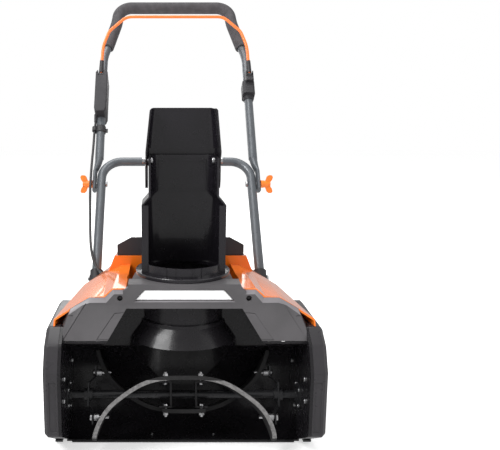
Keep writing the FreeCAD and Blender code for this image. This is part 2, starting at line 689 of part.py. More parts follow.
def make_base_tray():
    outline = [(112, 74), (196, 262), (412, 262), (412, 150), (352, 70), (190, 64)]
    tub = round_along(prism_x(outline, -195, 195), 12, (1, 0, 0))
    inner = round_along(prism_x([(118, 78), (201, 300), (408, 300), (408, 152), (350, 74), (190, 68)],
                                -191, 191), 8, (1, 0, 0))
    tub = tub.cut(inner)
    tub = tub.cut(box(-300, 300, 100, 500, 261, 320))
    flange = box(-188, 188, 96, 130, 86, 104).cut(scoop_solid(WALL + 0.3, SCOOP_HALF))
    tub = tub.fuse(flange.cut(inner))
    funnel_room = funnel(WALL + 1)
    axle_hole = rod((-210, WHEEL_Y, WHEEL_R), (210, WHEEL_Y, WHEEL_R), 6)
    axle_boss = rod((-203, WHEEL_Y, WHEEL_R), (203, WHEEL_Y, WHEEL_R), 14)
    tub = tub.fuse([axle_boss.common(box(-203, -188, 0, 500, 0, 300)),
                    axle_boss.common(box(188, 203, 0, 500, 0, 300))])
    return tub.cut([axle_hole, funnel_room]).removeSplitter()


def make_battery_pack():
    body = round_along(box(-70, 70, 248, 376, 268, 335), 8, (0, 0, 1))
    grip = round_along(box(-40, 40, 290, 334, 330, 352), 8, (0, 0, 1))
    hand = box(-30, 30, 286, 338, 337, 346)
    return round_rim(union([body, grip]).cut(hand), 2, "z", 352)


def make_battery_bay():
    """The contact tub that the battery drops into."""
    tub = box(-BAY_X + 0.3, BAY_X - 0.3, BAY_Y0 + 0.3, BAY_Y1 - 0.3, 256, 300)
    return tub.cut(box(-70.6, 70.6, 247.4, 376.6, 267.7, 310))


def make_battery_lid():
    back_y, front_y = 408, 209
    front = [(-147, HOOD_TOP + 0.4), (-147, 377), (-114, LID_TOP), (114, LID_TOP), (147, 377),
             (147, HOOD_TOP + 0.4)]
    rear = [(-141, HOOD_REAR + 2), (-141, 341), (-112, LID_REAR), (112, LID_REAR), (141, 341),
            (141, HOOD_REAR + 2)]
    outer = loft([section(front, front_y), section(rear, back_y)])
    inner = loft([section([(x - math.copysign(4, x), z - 4 if z > HOOD_TOP + 1 else z - 30)
                           for x, z in front], front_y + 4),
                  section([(x - math.copysign(4, x), z - 4 if z > HOOD_REAR + 3 else z - 30)
                           for x, z in rear], back_y - 4)])
    hood_room = loft([section([(x * 1.2, z + 0.4) for x, z in HOOD_FRONT], HOOD_FRONT_Y - 10),
                      section([(x * 1.2, z + 0.4) for x, z in HOOD_BACK], HOOD_BACK_Y + 10)])
    lid = outer.cut(inner).cut(hood_room)
    creases = [box(x - 0.6, x + 0.6, 200, 420, 300, 400).cut(outer.translated(Vector(0, 0, -1.2)))
               for x in (-104, 104)]
    return lid.cut(creases)


LID_HINGE_Y, LID_HINGE_Z = 416, 334


def make_lid_hinge():
    """Two knuckles on the hood behind the lid, with their pins."""
    solids = []
    for x in (-90, 90):
        pin = rod((x - 26, LID_HINGE_Y, LID_HINGE_Z), (x + 26, LID_HINGE_Y, LID_HINGE_Z), 2.5)
        solids.append(pin)
    return Part.makeCompound(solids)


def make_control_board():
    board = box(-60, 60, 205, 236, 200, 201.6)
    chips = [box(x, x + 14, 210, 224, 201.6, 206) for x in (-48, -20, 8, 34)]
    sink = box(-55, 55, 228, 234, 201.6, 222)
    return board.fuse(chips + [sink]).removeSplitter()


# ---- wheels -------------------------------------------------------------------------
def make_axle():
    bar = rod((-262, WHEEL_Y, WHEEL_R), (262, WHEEL_Y, WHEEL_R), 6)
    return bar


def make_hub(side):
    a, b = side * WHEEL_IN, side * WHEEL_OUT
    centre = rod((a, WHEEL_Y, WHEEL_R), (b, WHEEL_Y, WHEEL_R), 17)
    rim = rod((a, WHEEL_Y, WHEEL_R), (b, WHEEL_Y, WHEEL_R), 68)
    rim = rim.cut(rod((a - side, WHEEL_Y, WHEEL_R), (b + side, WHEEL_Y, WHEEL_R), 62))
    mid = side * (WHEEL_IN + WHEEL_OUT) / 2
    web = rod((mid - 3, WHEEL_Y, WHEEL_R), (mid + 3, WHEEL_Y, WHEEL_R), 64)
    spokes = []
    for k in range(6):
        spoke = box(min(a, b) + 5, max(a, b) - 5, WHEEL_Y - 4, WHEEL_Y + 4, WHEEL_R + 12, WHEEL_R + 64)
        spoke.rotate(Vector(0, WHEEL_Y, WHEEL_R), Vector(1, 0, 0), 60 * k)
        spokes.append(spoke)
    bore = rod((a - side, WHEEL_Y, WHEEL_R), (b + side, WHEEL_Y, WHEEL_R), 6.06)
    return union([centre, rim, web] + spokes).cut(bore)


def make_tyre(side):
    a, b = side * WHEEL_IN, side * WHEEL_OUT
    lo, hi = min(a, b), max(a, b)
    tread = rod((lo, WHEEL_Y, WHEEL_R), (hi, WHEEL_Y, WHEEL_R), WHEEL_R)
    rims = [e for e in tread.Edges if e.Curve.TypeId == "Part::GeomCircle"]
    tread = tread.makeFillet(7, rims)
    grooves = []
    for k in range(24):
        for x0, x1, twist in ((lo - 1, lo + 15, 0), (hi - 15, hi + 1, 7.5)):
            cut = box(x0, x1, WHEEL_Y - 2.5, WHEEL_Y + 2.5, WHEEL_R + 85, WHEEL_R + 95)
            cut.rotate(Vector(0, WHEEL_Y, WHEEL_R), Vector(1, 0, 0), 15 * k + twist)
            grooves.append(cut)
    bore = rod((lo - 1, WHEEL_Y, WHEEL_R), (hi + 1, WHEEL_Y, WHEEL_R), 68)
    return tread.cut([bore] + grooves)


def make_wheel_cap(side):
    cap = rod((side * 250.4, WHEEL_Y, WHEEL_R), (side * 266, WHEEL_Y, WHEEL_R), 14)
    cap = round_rim(cap, 4, "x", side * 266)
    return cap.cut(rod((side * 240, WHEEL_Y, WHEEL_R), (side * 262, WHEEL_Y, WHEEL_R), 6))


# ---- chute --------------------------------------------------------------------------
CHUTE_BACK, CHUTE_FRONT = 148, 32
CHUTE_LOW_X, CHUTE_HIGH_X = 86, 71.5
SHOULDER_Z, CHUTE_TOP = 504, 590
DEFLECTOR_Y, DEFLECTOR_Z = 130, 578


def u_section(half, front, back, corner):
    """A U in plan, open to the front, as a closed outline for a solid."""
    wire = [(-half, front), (-half, back - corner)]
    for k in range(1, 6):
        a = math.pi - k * math.pi / 12
        wire.append((-half + corner + corner * math.cos(a), back - corner + corner * math.sin(a)))
    wire.append((-half + corner, back))
    return wire + [(-x, y) for x, y in reversed(wire)]


def u_wire(half, front, back, corner, z):
    return [(x, y, z) for x, y in u_section(half, front, back, corner)]


def channel(levels, wall):
    """A tall U-shaped channel through the given (z, half, front, back, corner) levels."""
    outer = loft([u_wire(h, f, b, c, z) for z, h, f, b, c in levels])
    low, high = levels[0], levels[-1]
    inner_levels = [(z, h - wall, f - 30, b - wall, c - wall) for z, h, f, b, c in levels]
    inner_levels[0] = (low[0] - 0.01,) + inner_levels[0][1:]
    inner_levels[-1] = (high[0] + 0.01,) + inner_levels[-1][1:]
    return outer.cut(loft([u_wire(h, f, b, c, z) for z, h, f, b, c in inner_levels]))


def make_chute():
    flange = rod((0, RING_Y, RING_Z + 0.3), (0, RING_Y, RING_Z + 8), RING_R)
    flange = round_rim(flange, 2, "z", RING_Z + 8)
    bore = rod((0, RING_Y, RING_Z - 1), (0, RING_Y, RING_Z + 40), 78)
    low = channel([(RING_Z + 7, CHUTE_LOW_X, CHUTE_FRONT, CHUTE_BACK, 42),
                   (SHOULDER_Z - 8, CHUTE_LOW_X, CHUTE_FRONT, CHUTE_BACK, 30),
                   (SHOULDER_Z + 8, CHUTE_HIGH_X, CHUTE_FRONT + 6, CHUTE_BACK, 26),
                   (CHUTE_TOP, CHUTE_HIGH_X, CHUTE_FRONT + 14, CHUTE_BACK, 24)], WALL)
    lip = rod((0, RING_Y, RING_Z + 7), (0, RING_Y, RING_Z + 27), 88)
    lip = lip.cut(rod((0, RING_Y, RING_Z), (0, RING_Y, RING_Z + 40), 84.5))
    lip = lip.common(box(-90, 90, -40, 44, 300, 420))
    ribs = []
    for angle in (-24, -12, 12, 24):
        rib = box(-1.2, 1.2, RING_Y - 90, RING_Y - 86.5, RING_Z + 7, RING_Z + 27)
        rib.rotate(Vector(0, RING_Y, 0), Vector(0, 0, 1), angle)
        ribs.append(rib)
    edges = []
    for side in (-1, 1):
        strip = box(CHUTE_LOW_X - 14, CHUTE_LOW_X, CHUTE_FRONT, CHUTE_FRONT + 5, RING_Z + 7,
                    SHOULDER_Z - 9)
        edges.append(strip if side > 0 else mirrored(strip))
    panel = box(-52, 52, CHUTE_BACK - WALL - 2.2, CHUTE_BACK - WALL + 0.5, 512, 580)
    panel = panel.cut(box(-48, 48, CHUTE_BACK - WALL - 3, CHUTE_BACK - WALL - 0.2, 516, 576))
    body = union([flange.cut(bore), low, lip] + ribs + edges + [panel])
    pins = rod((-100, DEFLECTOR_Y, DEFLECTOR_Z), (100, DEFLECTOR_Y, DEFLECTOR_Z), 4)
    return body.cut(pins)


def make_deflector():
    back = DEFLECTOR_Y + 29
    hood = channel([(566, 78.5, 96, back, 16), (600, 78.5, 74, back, 16), (688, 69, 66, back - 4, 14)],
                   3.5)
    arms = []
    for side in (-1, 1):
        arm = prism_x([(104, 522), (146, 522), (146, 570), (96, 570), (96, 540)],
                      side * 74, side * 79.5)
        arms.append(round_along(arm, 5, (1, 0, 0)))
    rim = channel([(684, 70.6, 64, back - 2.4, 15.6), (690, 70, 64, back - 3, 15)], 5)
    body = union([hood] + arms + [rim])
    relief = box(-71.9, 71.9, 0, back - 4.2, 500, 604)
    holes = rod((-100, DEFLECTOR_Y, DEFLECTOR_Z), (100, DEFLECTOR_Y, DEFLECTOR_Z), 4.08)
    top, side, corner = 690, 70, 9
    nick = box(side - corner, side + 20, 0, 200, top - corner, top + 10)
    nick = nick.cut(rod((side - corner, 0, top - corner), (side - corner, 200, top - corner), corner))
    return body.cut([relief, holes, nick, mirrored(nick)])


def make_deflector_bolts():
    solids = []
    for side in (-1, 1):
        stud = rod((side * 64, DEFLECTOR_Y, DEFLECTOR_Z), (side * 84, DEFLECTOR_Y, DEFLECTOR_Z), 4)
        head = rod((side * 67.3, DEFLECTOR_Y, DEFLECTOR_Z), (side * 63, DEFLECTOR_Y, DEFLECTOR_Z), 7)
        head = round_rim(head, 2, "x", side * 63)
        nut = rod((side * 80, DEFLECTOR_Y, DEFLECTOR_Z), (side * 86, DEFLECTOR_Y, DEFLECTOR_Z), 7)
        solids.append(union([stud, head, nut]))
    return Part.makeCompound(solids)


# ---- handles ------------------------------------------------------------------------
LOWER_END = -308


def make_lower_handle():
    top = 78
    points = [on_lower(-LOWER_X, LOWER_END), on_lower(-LOWER_X, top), on_lower(LOWER_X, top),
              on_lower(LOWER_X, LOWER_END)]
    tube = bent_tube(points, [58, 58], TUBE_R, TUBE_R - 1.5)
    holes = [rod((-260, PIVOT_Y, PIVOT_Z), (260, PIVOT_Y, PIVOT_Z), 4)]
    y, z = on_lower(0, CLAMP_RUN)[1:]
    holes.append(rod((-260, y, z), (260, y, z), 3.4))
    return tube.cut(holes)


CLAMP_RUN = -294


def make_handle_clamp():
    """The left socket on the tray's side that holds the lower handle's foot."""
    start, end = on_lower(-LOWER_X, LOWER_END - 8), on_lower(-LOWER_X, LOWER_END + 34)
    cup = rod(start, end, 17)
    y, z = on_lower(0, LOWER_END + 12)[1:]
    pad = box(-212, -195.2, y - 30, y + 16, z - 26, 255)
    body = cup.fuse(pad)
    body = body.cut(box(-195.1, -100, 0, 600, 0, 600))
    bore = rod(on_lower(-LOWER_X, LOWER_END - 0.1), on_lower(-LOWER_X, LOWER_END + 60), TUBE_R + 0.02)
    y, z = on_lower(0, CLAMP_RUN)[1:]
    return body.cut([bore, rod((-260, y, z), (-190, y, z), 3.4)]).removeSplitter()


def make_clamp_bolts():
    y, z = on_lower(0, CLAMP_RUN)[1:]
    one = bolt((-229.1, y, z), (1, 0, 0), 3.3, 32, 7.5, 5)
    return Part.makeCompound(both(one))


def handle_circle(x, run, width, depth):
    """A round or flattened tube section across the upper handle."""
    centre = Vector(*on_upper(x, run))
    ellipse = Part.Ellipse(centre + UPPER_FRONT * depth, centre + Vector(width, 0, 0), centre)
    return Part.Wire(ellipse.toShape())


FLAT_END, FLAT_X = 40, 231
ROUND_START = 82


def upper_points():
    return [on_upper(-UPPER_X, ROUND_START), on_upper(-UPPER_X, 452), on_upper(-185, 592),
            on_upper(-177, UPPER_TOP), on_upper(177, UPPER_TOP), on_upper(185, 592),
            on_upper(UPPER_X, 452), on_upper(UPPER_X, ROUND_START)]


UPPER_BENDS = [160, 150, 44, 44, 150, 160]


def make_upper_handle():
    tube = bent_rod(upper_points(), UPPER_BENDS, TUBE_R)
    ends = []
    for side in (-1, 1):
        jog = Part.makeLoft([handle_circle(side * FLAT_X, FLAT_END, 6, 15),
                             handle_circle(side * (UPPER_X + 1.5), ROUND_START - 8, 11, 12.6),
                             handle_circle(side * UPPER_X, ROUND_START + 6, 11.8, 11.8)], True, False)
        flat = Part.Face(handle_circle(side * FLAT_X, FLAT_END, 6, 15)).extrude(
            UPPER_ALONG * (-FLAT_END - 20))
        ends += [jog, flat]
    body = union([tube] + ends)
    bore = bent_rod(upper_points(), UPPER_BENDS, TUBE_R - 1.5)
    hole = rod((-260, PIVOT_Y, PIVOT_Z), (260, PIVOT_Y, PIVOT_Z), 4.08)
    return body.cut([bore, hole])


GRIP_START = 492
GRIP_R = 18.5


def make_grip():
    """The foam sleeve round the bend of the handle."""
    points = upper_points()
    share = (GRIP_START - 452) / (592 - 452)
    start = Vector(*points[1]) + (Vector(*points[2]) - Vector(*points[1])) * share
    end = Vector(-start.x, start.y, start.z)
    route = [tuple(start)] + points[2:6] + [tuple(end)]
    outer = bent_rod(route, UPPER_BENDS[1:5], GRIP_R)
    inner = bent_rod(route, UPPER_BENDS[1:5], TUBE_R)
    return outer.cut(inner)


def pivot_slot(side):
    """Room for a bail leg and its eye, open to the top and front of its bracket."""
    return box(side * BAIL_X - 8.5, side * BAIL_X + 8.5, -70, -BAIL_OFFSET + 10,
               BAIL_RUN - 10, BAIL_RUN + 30)


def pivot_pin(side):
    return rod((side * BAIL_X - 11, -BAIL_OFFSET, BAIL_RUN),
               (side * BAIL_X + 11, -BAIL_OFFSET, BAIL_RUN), 3)


BUTTON_RUN = 318


def make_switch_box():
    """The control box on the left leg, with a boot for the cable under it."""
    low, high = 222, BAIL_RUN + 10
    outline = [(-18, low + 14), (-13, low), (13, low), (18, low + 14), (18, high - 8), (13, high),
               (-13, high), (-18, high - 8)]
    body = round_along(prism_y(outline, -42, 32), 4, (0, 1, 0))
    body = round_rim(round_rim(body, 3.5, "y", -42), 3.5, "y", 32)
    body = body.translated(Vector(-UPPER_X - 1, 0, 0))
    tube = rod((-UPPER_X, 0, 100), (-UPPER_X, 0, 500), TUBE_R)
    well = rod((-UPPER_X - 1, 21, BUTTON_RUN), (-UPPER_X - 1, 40, BUTTON_RUN), 11.5)
    boot = cone((-236.5, -4, low + 12), (-236.5, -4, low - 14), 5.6, 4.6)
    body = body.fuse(boot).cut([tube, well, pivot_slot(-1)]).fuse(pivot_pin(-1))
    return placed_on_upper(body.removeSplitter())


def make_start_button():
    cap = rod((-UPPER_X - 1, 25.5, BUTTON_RUN), (-UPPER_X - 1, 37.5, BUTTON_RUN), 11)
    return placed_on_upper(round_rim(cap, 2, "y", 37.5))


def make_pivot_bracket():
    """The bail's bracket on the right leg: a ribbed head over a wider collar."""
    head = round_along(box(UPPER_X - 8, UPPER_X + 15, -39, 14, 338, BAIL_RUN + 10), 4, (0, 0, 1))
    head = round_rim(head, 3, "z", BAIL_RUN + 10)
    collar = round_along(box(UPPER_X - 18, UPPER_X + 18, -28, 19, 300, 346), 8, (0, 0, 1))
    collar = round_rim(collar, 3, "z", 346)
    skirt = Part.makeCone(14.6, 17, 14, Vector(UPPER_X, 0, 288))
    ribs = [box(UPPER_X - 30, UPPER_X + 30, -42, -38, z, z + 2.2) for z in range(350, 366, 5)]
    body = union([head, collar, skirt]).cut(ribs)
    tube = rod((UPPER_X, 0, 100), (UPPER_X, 0, 500), TUBE_R)
    body = body.cut([tube, pivot_slot(1)]).fuse(pivot_pin(1))
    return placed_on_upper(body.removeSplitter())


def on_bail(x, length):
    """A point of the released bail, by its distance from the pivot."""
    a = math.radians(BAIL_LIFT)
    return on_upper(x, BAIL_RUN + length * math.cos(a), BAIL_OFFSET + length * math.sin(a))


def make_bail():
    points = [on_bail(-BAIL_X, 5), on_bail(-BAIL_X + 4, 96), on_bail(-203, 148),
              on_bail(-150, BAIL_LENGTH), on_bail(150, BAIL_LENGTH), on_bail(203, 148),
              on_bail(BAIL_X - 4, 96), on_bail(BAIL_X, 5)]
    loop = bent_rod(points, [140, 44, 44, 44, 44, 140], BAIL_R)
    eyes = [rod(on_bail(side * BAIL_X - 7, 0), on_bail(side * BAIL_X + 7, 0), 7.5) for side in (-1, 1)]
    holes = [rod(on_bail(side * BAIL_X - 9, 0), on_bail(side * BAIL_X + 9, 0), 3.06) for side in (-1, 1)]
    return union([loop] + eyes).cut(holes)


def make_bail_sleeves():
    """Rubber sleeves on the bail's legs, just above the box and the bracket."""
    solids = []
    for side in (-1, 1):
        foot, top = on_bail(side * BAIL_X, 5), on_bail(side * (BAIL_X - 4), 96)
        ahead = (Vector(*top) - Vector(*foot)).normalize()
        start, end = Vector(*foot) + ahead * 3.5, Vector(*foot) + ahead * 42
        sleeve = cone(tuple(start), tuple(end), 7.2, 6.4)
        solids.append(sleeve.cut(rod(foot, top, BAIL_R)))
    return Part.makeCompound(solids)


CLIP_RUN = 172


def make_cable_clip():
    band = rod((-UPPER_X, 0, CLIP_RUN), (-UPPER_X, 0, CLIP_RUN + 20), 15)
    x, y = CABLE_CLIP[0], -CABLE_CLIP[1]
    lug = rod((x, y, CLIP_RUN + 3), (x, y, CLIP_RUN + 17), CABLE_R + 3.6)
    tail = box(-UPPER_X + 10, -UPPER_X + 21, -2, 2, CLIP_RUN + 2, CLIP_RUN + 14)
    body = band.fuse([lug, round_along(tail, 1.5, (0, 0, 1))])
    bore = rod((-UPPER_X, 0, 0), (-UPPER_X, 0, 500), TUBE_R + 0.02)
    cord = rod((x, y, 0), (x, y, 500), CABLE_R + 2.1)
    return placed_on_upper(body.cut([bore, cord]).removeSplitter())


CABLE_CLIP = (-238.6, 5)
CABLE_ROUTE = [on_upper(-236.5, 207.5, 4), on_upper(-238, 186, 4.8), on_upper(-238.9, 162, 5.4),
               on_upper(-239, 118, 9), on_upper(-240.6, 62, 14), on_upper(-241, 6, 18),
               on_lower(-240, -52, 17.5), on_lower(-236.5, -112, 14), on_lower(-233.5, -168, 14.5),
               on_lower(-228, -222, 19.5), (-214.5, 361, 288), (-203, 352.5, 276)]


def cord_radii(points):
    """The largest even arcs that the runs on each side of a corner leave room for."""
    corners = [Vector(*p) for p in points]
    radii = []
    for before, corner, after in zip(corners, corners[1:], corners[2:]):
        back, ahead = before - corner, after - corner
        half_turn = (math.pi - back.getAngle(ahead)) / 2
        radii.append(0.45 * min(back.Length, ahead.Length) / math.tan(half_turn))
    return radii


def make_cable():
    radii = cord_radii(CABLE_ROUTE)
    cable = bent_rod(CABLE_ROUTE, radii, CABLE_R)
    length = bent_path(CABLE_ROUTE, radii).Length
    print("cable: length %.1f mm, volume / (section * length) = %.4f, radii %s" % (
        length, cable.Volume / (math.pi * CABLE_R ** 2 * length), [round(r) for r in radii]))
    return cable


def make_cable_gland():
    """The boot where the cable enters the rear hood."""
    end = Vector(*CABLE_ROUTE[-1])
    ahead = (end - Vector(*CABLE_ROUTE[-2])).normalize()
    inside = end + ahead * 17
    boot = cone(tuple(end + ahead * 0.1), tuple(inside), 4.6, 7)
    hood = loft([section(HOOD_FRONT, HOOD_FRONT_Y), section(HOOD_BACK, HOOD_BACK_Y)])
    return boot.cut([hood, make_base_tray()])


def make_wing_knob():
    """The left wing knob, screwed on its bolt."""
    y, z = PIVOT_Y, PIVOT_Z
    hub = cone((-237.4, y, z), (-264, y, z), 11, 8.5)
    wing = prism_y([(-248, z), (-250, z + 8), (-254.5, z + 21), (-259, z + 25), (-268, z + 25),
                    (-271, z + 20), (-268.5, z + 12), (-264, z + 6), (-264, z)], y - 4.5, y + 4.5)
    wing = round_along(wing, 1.8, (0, 1, 0))
    other = wing.copy()
    other.rotate(Vector(0, y, z), Vector(1, 0, 0), 180)
    knob = union([hub, wing, other])
    return knob.cut(rod((-230, y, z), (-259, y, z), 4.04))


def make_knob_bolts():
    solids = []
    for side in (-1, 1):
        start = (side * (LOWER_X - TUBE_R - 0.1), PIVOT_Y, PIVOT_Z)
        solids.append(bolt(start, (side, 0, 0), 4, 58, 9, 4.5))
    return Part.makeCompound(solids)


def make_lid_knuckles(x0, x1, post):
    """Hinge barrels along X, each with a post that reaches down or ahead to its cover."""
    barrel = rod((x0, LID_HINGE_Y, LID_HINGE_Z), (x1, LID_HINGE_Y, LID_HINGE_Z), 5)
    web = prism_x(post, x0, x1)
    hole = rod((x0 - 1, LID_HINGE_Y, LID_HINGE_Z), (x1 + 1, LID_HINGE_Y, LID_HINGE_Z), 2.56)
    return barrel.fuse(web).cut(hole)


HOOD_POST = [(LID_HINGE_Y - 5, LID_HINGE_Z), (LID_HINGE_Y + 5, LID_HINGE_Z),
             (LID_HINGE_Y + 5, HOOD_REAR - 8), (LID_HINGE_Y - 5, HOOD_REAR - 8)]
LID_POST = [(LID_HINGE_Y - 11, LID_HINGE_Z + 5), (LID_HINGE_Y, LID_HINGE_Z + 5),
            (LID_HINGE_Y, LID_HINGE_Z), (LID_HINGE_Y - 11, LID_HINGE_Z)]


def make_hinged_hood():
    hood = make_rear_hood()
    knuckles = []
    for x in (-90, 90):
        knuckles += [make_lid_knuckles(x - 26, x - 12.4, HOOD_POST),
                     make_lid_knuckles(x + 12.4, x + 26, HOOD_POST)]
    return union([hood] + knuckles)


def make_hinged_lid():
    knuckles = [make_lid_knuckles(x - 12, x + 12, LID_POST) for x in (-90, 90)]
    return union([make_battery_lid()] + knuckles)


def make_cowl_screws():
    solids = []
    for x in (-128, 128):
        solids.append(bolt((x, LIP_Y + 7.6, 318), (0, 1, 0), 2.4, 10, 4.6, 2.6))
    return Part.makeCompound(solids)


def make_wall_screws():
    """Small screws on the inner faces of the side plates, round the bearings and ends."""
    solids = []
    for side in (-1, 1):
        for y in (-17, 17):
            for z in (AUGER_Z - 17, AUGER_Z + 17):
                solids.append(bolt((side * 236.1, y, z), (side, 0, 0), 1.6, 6, 3.4, 2))
        for y, z in ((-62, 118), (-52, 160), (30, 66), (70, 150)):
            solids.append(bolt((side * (SCOOP_HALF - 0.1), y, z), (side, 0, 0), 2, 5.5, 4.6, 3))
    return Part.makeCompound(solids)


def make_scraper_screws():
    return Part.makeCompound([bolt((x, 14, 1.19), (0, 0, 1), 2.5, 8, 4.4, 1.1) for x in SCRAPER_SCREWS])


SIDE_COVER, CLAMP, KNOB = make_side_cover(), make_handle_clamp(), make_wing_knob()
WALL_SCREWS, BAR_SCREWS, COWL_SCREWS = make_wall_screws(), make_scraper_screws(), make_cowl_screws()
HOUSING = make_auger_housing().cut([WALL_SCREWS, BAR_SCREWS])
COWL = make_cowl().cut([HOUSING, SIDE_COVER])
VISOR = largest(make_front_visor().cut([HOUSING, COWL_SCREWS, COWL, mirrored(COWL)]))
SKID = make_skid().cut(SIDE_COVER)
DEFLECTOR_BOLTS = make_deflector_bolts()
PADDLE_SHEET = make_front_paddle()

PARTS = {
    "auger_housing": HOUSING,
    "front_visor": VISOR,
    "left_side_cover": SIDE_COVER,
    "right_side_cover": mirrored(SIDE_COVER),
    "scraper_bar": make_scraper(),
    "scraper_screws": BAR_SCREWS,
    "left_skid": SKID,
    "right_skid": mirrored(SKID),
    "lamp_lens": make_lamp_lens(),
    "lamp_board": make_lamp_board(),
    "left_cowl": COWL,
    "right_cowl": mirrored(COWL).cut(VISOR),
    "cowl_screws": COWL_SCREWS,
    "rear_hood": make_hinged_hood(),
    "base_tray": make_base_tray(),
    "battery_bay": make_battery_bay(),
    "battery_pack": make_battery_pack(),
    "battery_lid": make_hinged_lid(),
    "lid_hinge_pins": make_lid_hinge(),
    "control_board": make_control_board(),
    "motor_can": make_motor(),
    "motor_shaft": make_motor_shaft(),
    "motor_pulley": make_motor_pulley(),
    "drive_belt": make_belt(),
    "auger_pulley": make_auger_pulley(),
    "auger_shaft": make_auger_shaft(),
    "auger_bracket": make_auger_bracket(),
    "front_paddle": PADDLE_SHEET,
    "rear_paddle": turned_rotor(PADDLE_SHEET),
    "left_end_arm": make_end_arm(-1),
    "right_end_arm": make_end_arm(1),
    "paddle_bolts": make_paddle_bolts(),
    "shaft_bearings": Part.makeCompound([make_bearing(-1), make_bearing(1)]).cut(WALL_SCREWS),
    "bearing_screws": WALL_SCREWS,
    "wheel_axle": make_axle(),
    "left_wheel_hub": make_hub(-1),
    "right_wheel_hub": make_hub(1),
    "left_tyre": make_tyre(-1),
    "right_tyre": make_tyre(1),
    "wheel_caps": Part.makeCompound([make_wheel_cap(-1), make_wheel_cap(1)]),
    "chute": make_chute().cut(DEFLECTOR_BOLTS),
    "chute_deflector": make_deflector(),
    "deflector_bolts": DEFLECTOR_BOLTS,
    "lower_handle": make_lower_handle(),
    "left_handle_clamp": CLAMP,
    "right_handle_clamp": mirrored(CLAMP),
    "clamp_bolts": make_clamp_bolts(),
    "upper_handle": make_upper_handle(),
    "handle_grip": make_grip(),
    "bail": make_bail(),
    "bail_sleeves": make_bail_sleeves(),
    "switch_box": make_switch_box(),
    "start_button": make_start_button(),
    "pivot_bracket": make_pivot_bracket(),
    "cable": make_cable(),
    "cable_clip": make_cable_clip(),
    "cable_gland": make_cable_gland(),
    "left_wing_knob": KNOB,
    "right_wing_knob": mirrored(KNOB),
    "knob_bolts": make_knob_bolts(),
}

os.makedirs("parts", exist_ok=True)
whole = FreeCAD.BoundBox()
for name, shape in PARTS.items():
    placed = shape.translated(ORIGIN_SHIFT)
    whole.add(placed.BoundBox)
    placed.exportStep(os.path.join("parts", name + ".step"))
print("%d parts, X %.1f %.1f, Y %.1f %.1f, Z %.1f %.1f" % (
    len(PARTS), whole.XMin, whole.XMax, whole.YMin, whole.YMax, whole.ZMin, whole.ZMax))
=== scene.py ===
import json
import math

import bmesh
import bpy
from mathutils import Matrix, Vector


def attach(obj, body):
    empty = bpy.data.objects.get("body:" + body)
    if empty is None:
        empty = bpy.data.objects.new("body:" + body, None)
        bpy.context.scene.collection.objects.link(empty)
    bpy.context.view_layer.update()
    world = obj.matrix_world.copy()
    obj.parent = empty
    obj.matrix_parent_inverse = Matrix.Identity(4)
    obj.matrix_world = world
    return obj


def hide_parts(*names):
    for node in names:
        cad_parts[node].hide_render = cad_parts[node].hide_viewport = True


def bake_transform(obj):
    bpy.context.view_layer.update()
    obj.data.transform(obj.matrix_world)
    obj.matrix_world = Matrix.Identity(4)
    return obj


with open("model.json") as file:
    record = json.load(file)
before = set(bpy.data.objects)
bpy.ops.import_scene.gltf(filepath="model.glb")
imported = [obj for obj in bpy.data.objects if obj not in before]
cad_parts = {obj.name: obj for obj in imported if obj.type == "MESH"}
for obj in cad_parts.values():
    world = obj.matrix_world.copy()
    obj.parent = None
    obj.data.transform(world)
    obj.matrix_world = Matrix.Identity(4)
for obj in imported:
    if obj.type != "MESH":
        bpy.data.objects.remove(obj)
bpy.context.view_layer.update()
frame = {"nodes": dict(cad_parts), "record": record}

NODES = frame["nodes"]
NODE_SLOT = {s["node"]: s["material_slot"] for s in frame["record"]["subparts"]}
BODY_OF = {n: b for b, names in frame["record"]["behaviour"]["bodies"].items() for n in names}

# sizes and places in millimetres, with y measured back from the auger shaft
SHAFT_Y = -433.4                     # the auger shaft's place along the machine
SHAFT_Z = 104
PIVOT_Y, PIVOT_Z = 555, 478          # the axis that the handle folds about
UPPER_LEAN, LOWER_LEAN = 36.3, 41    # how far each handle leans back, in degrees


def at(x, y, z):
    """A point given in millimetres, with y measured back from the auger shaft."""
    return Vector((x / 1000, (y + SHAFT_Y) / 1000, z / 1000))


def on_handle(lean, x, run, offset):
    """A point on a handle leg, by its run from the fold axis and its offset out of the front."""
    turn = math.radians(lean)
    return at(x, PIVOT_Y + math.sin(turn) * run - math.cos(turn) * offset,
              PIVOT_Z + math.cos(turn) * run + math.sin(turn) * offset)


def on_upper(x, run, offset=0):
    return on_handle(UPPER_LEAN, x, run, offset)


def on_lower(x, run, offset=0):
    return on_handle(LOWER_LEAN, x, run, offset)


# ---- materials ------------------------------------------------------------------------
def add(tree, kind, **settings):
    node = tree.nodes.new(kind)
    for key, value in settings.items():
        setattr(node, key, value)
    return node


def plug(tree, source, target):
    tree.links.new(source, target)


def noise(tree, scale, detail=2.0, kind="ShaderNodeTexNoise"):
    """A noise in object space, in metres, so that its scale is in waves per metre."""
    place = add(tree, "ShaderNodeTexCoord")
    texture = add(tree, kind)
    texture.inputs["Scale"].default_value = scale
    if "Detail" in texture.inputs:
        texture.inputs["Detail"].default_value = detail
    plug(tree, place.outputs["Object"], texture.inputs["Vector"])
    return texture


def ramp(tree, source, stops):
    node = add(tree, "ShaderNodeValToRGB")
    node.color_ramp.elements[0].position, node.color_ramp.elements[0].color = stops[0]
    node.color_ramp.elements[1].position, node.color_ramp.elements[1].color = stops[-1]
    for place, colour in stops[1:-1]:
        element = node.color_ramp.elements.new(place)
        element.color = colour
    plug(tree, source, node.inputs["Fac"])
    return node.outputs["Color"]


def shade(colour, factor):
    return tuple(min(1.0, c * factor) for c in colour[:3]) + (1.0,)


def grey(value):
    return (value, value, value, 1.0)


